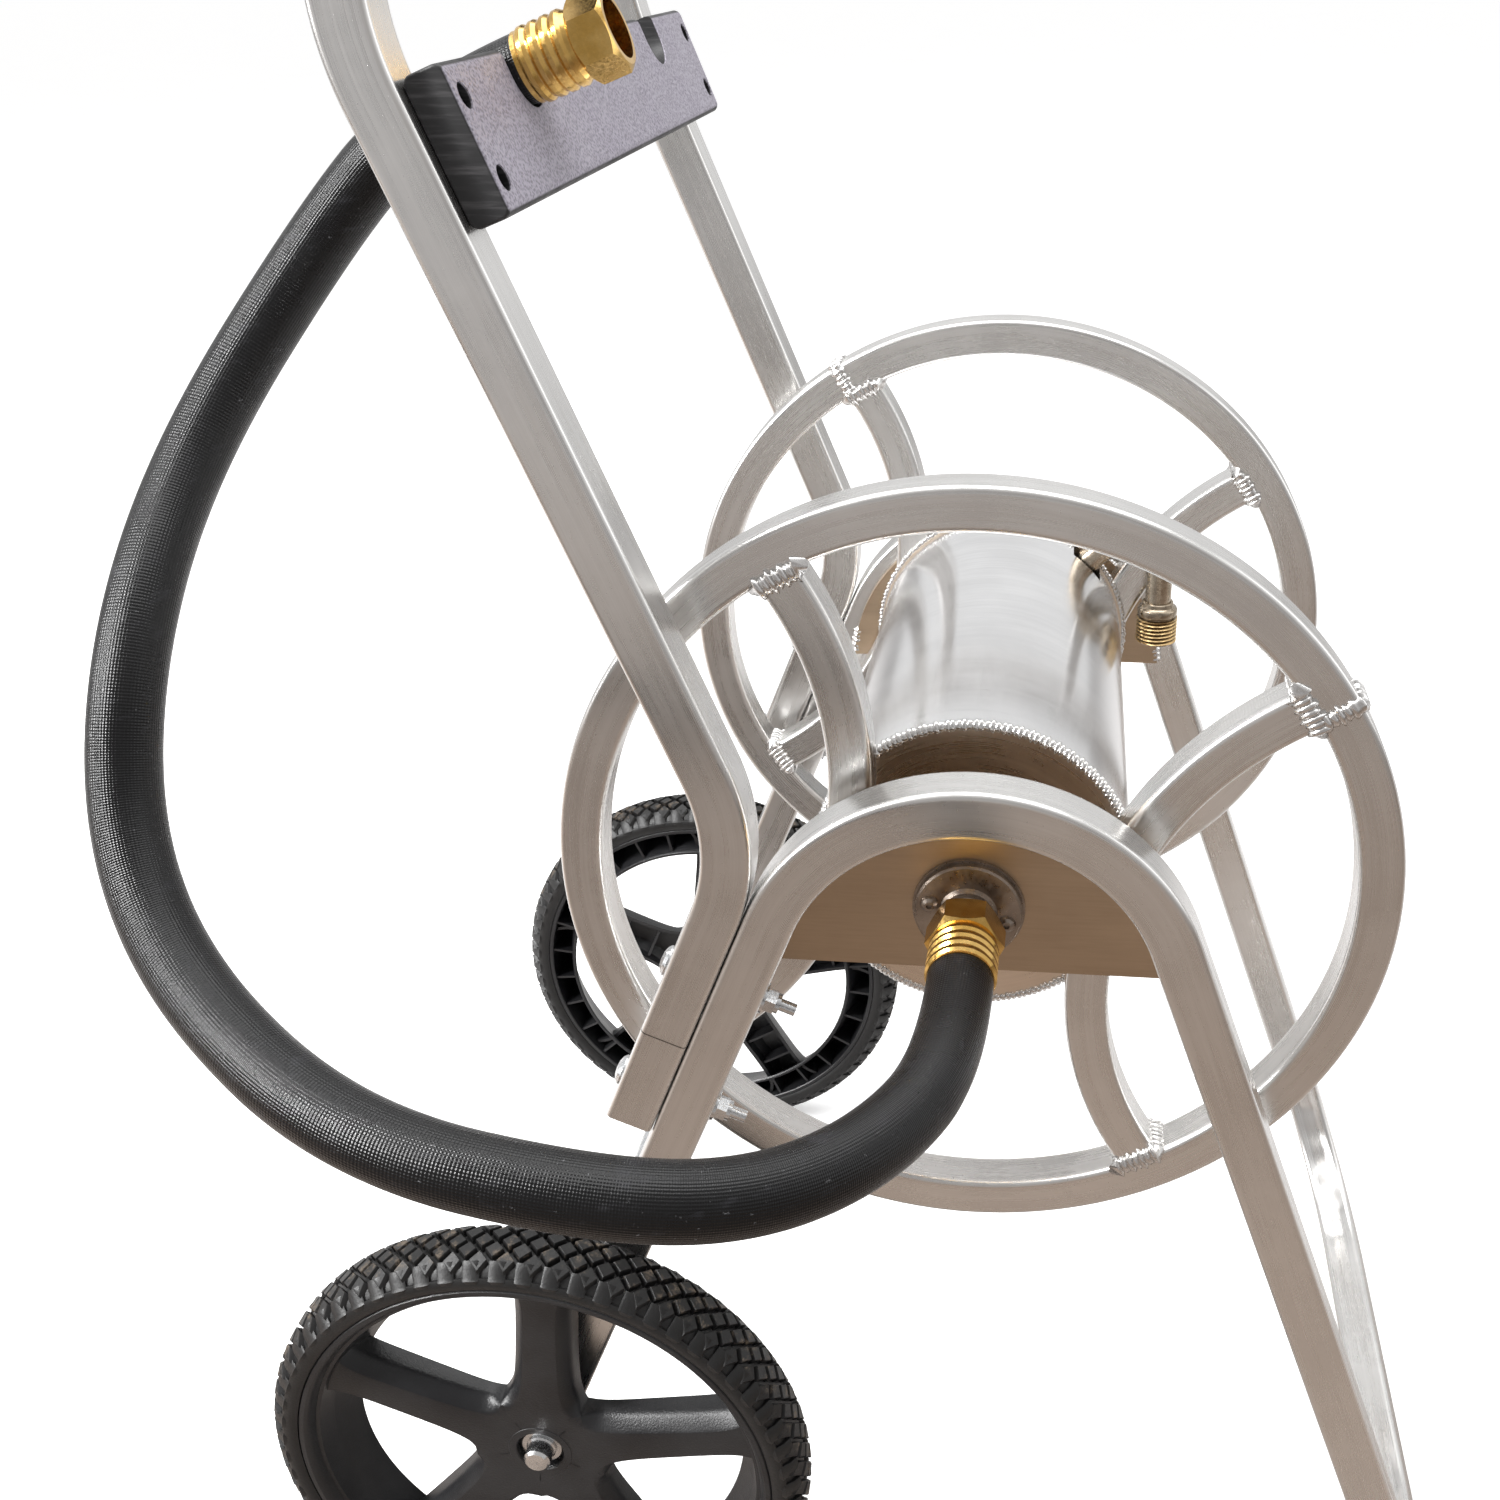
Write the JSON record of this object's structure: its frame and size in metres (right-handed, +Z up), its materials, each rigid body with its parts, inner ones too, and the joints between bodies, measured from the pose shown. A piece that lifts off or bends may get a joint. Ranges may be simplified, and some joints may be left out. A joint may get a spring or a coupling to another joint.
{
  "type": "hose reel cart",
  "caption": "Two-wheeled aluminium cart with a spinning hose drum, swivel inlet with leader hose, side crank, push handle and slotted hose holder.",
  "frame": {"origin": "middle of the footprint on the floor, measured without the leader hose", "axes": "+X forward towards the foot bar, +Y towards the crank side, +Z up"},
  "size_m": [0.6786, 0.7729, 1.039],
  "materials": {
    "tube_aluminium": "mill finish with fine drawn lines and small scratches",
    "reel_aluminium": "mill finish, brushed along the tube",
    "sheet_aluminium": "smooth rolled sheet with smeared reflections",
    "bronze_metal": "dark bronze-grey, satin",
    "brass": "polished",
    "zinc_steel": "bright zinc plate",
    "black_plastic": "moulded, satin, finely grained",
    "block_plastic": "pebbled front, sawn ends",
    "tyre_rubber": "matt rubber, dusty tread",
    "grip_rubber": "soft foam rubber",
    "hose_rubber": "smooth black rubber with a faint woven print"
  },
  "bodies": {
    "frame": {"side_frame_right": "tube_aluminium", "side_frame_left": "tube_aluminium", "foot_bar": "tube_aluminium", "handle_tube": "tube_aluminium", "hub_plate_right": "sheet_aluminium", "hub_plate_left": "sheet_aluminium", "swivel_flange": "bronze_metal", "inlet_ferrule": "brass", "inlet_nut": "brass", "free_ferrule": "brass", "free_nut": "brass", "flange_screws": "zinc_steel", "bearing_screws": "zinc_steel", "handle_bolts": "zinc_steel", "handle_washers": "zinc_steel", "handle_nuts": "zinc_steel", "block_screws": "zinc_steel", "axle": "zinc_steel", "axle_washers": "zinc_steel", "axle_caps": "zinc_steel", "far_bearing": "black_plastic", "hose_block": "block_plastic", "handle_grip": "grip_rubber", "leader_hose": "hose_rubber"},
    "reel": {"rim_right": "reel_aluminium", "rim_left": "reel_aluminium", "reel_spoke_rear_right": "reel_aluminium", "reel_spoke_rear_left": "reel_aluminium", "reel_spoke_front_right": "reel_aluminium", "reel_spoke_front_left": "reel_aluminium", "drum": "sheet_aluminium", "drum_end_right": "sheet_aluminium", "drum_end_left": "sheet_aluminium", "water_pipe": "bronze_metal", "outlet_fitting": "brass", "reel_shaft": "zinc_steel", "crank_arm": "sheet_aluminium", "crank_spindle": "zinc_steel", "crank_collar": "zinc_steel"},
    "crank_grip": {"crank_grip": "grip_rubber"},
    "wheel_right": {"wheel_right": "black_plastic", "tyre_right": "tyre_rubber"},
    "wheel_left": {"wheel_left": "black_plastic", "tyre_left": "tyre_rubber"}
  },
  "joints": [
    {"name": "reel_spin", "type": "hinge", "parent": "frame", "child": "reel", "pos_m": [0.0525, -0.0349, 0.499], "axis": [0, 1, 0], "continuous": true},
    {"name": "crank_grip_spin", "type": "hinge", "parent": "reel", "child": "crank_grip", "pos_m": [0.00573, 0.2251, 0.39394], "axis": [0, 1, 0], "continuous": true},
    {"name": "wheel_right_spin", "type": "hinge", "parent": "frame", "child": "wheel_right", "pos_m": [-0.18477, -0.2769, 0.1545], "axis": [0, 1, 0], "continuous": true},
    {"name": "wheel_left_spin", "type": "hinge", "parent": "frame", "child": "wheel_left", "pos_m": [-0.18477, 0.2071, 0.1545], "axis": [0, 1, 0], "continuous": true}
  ]
}
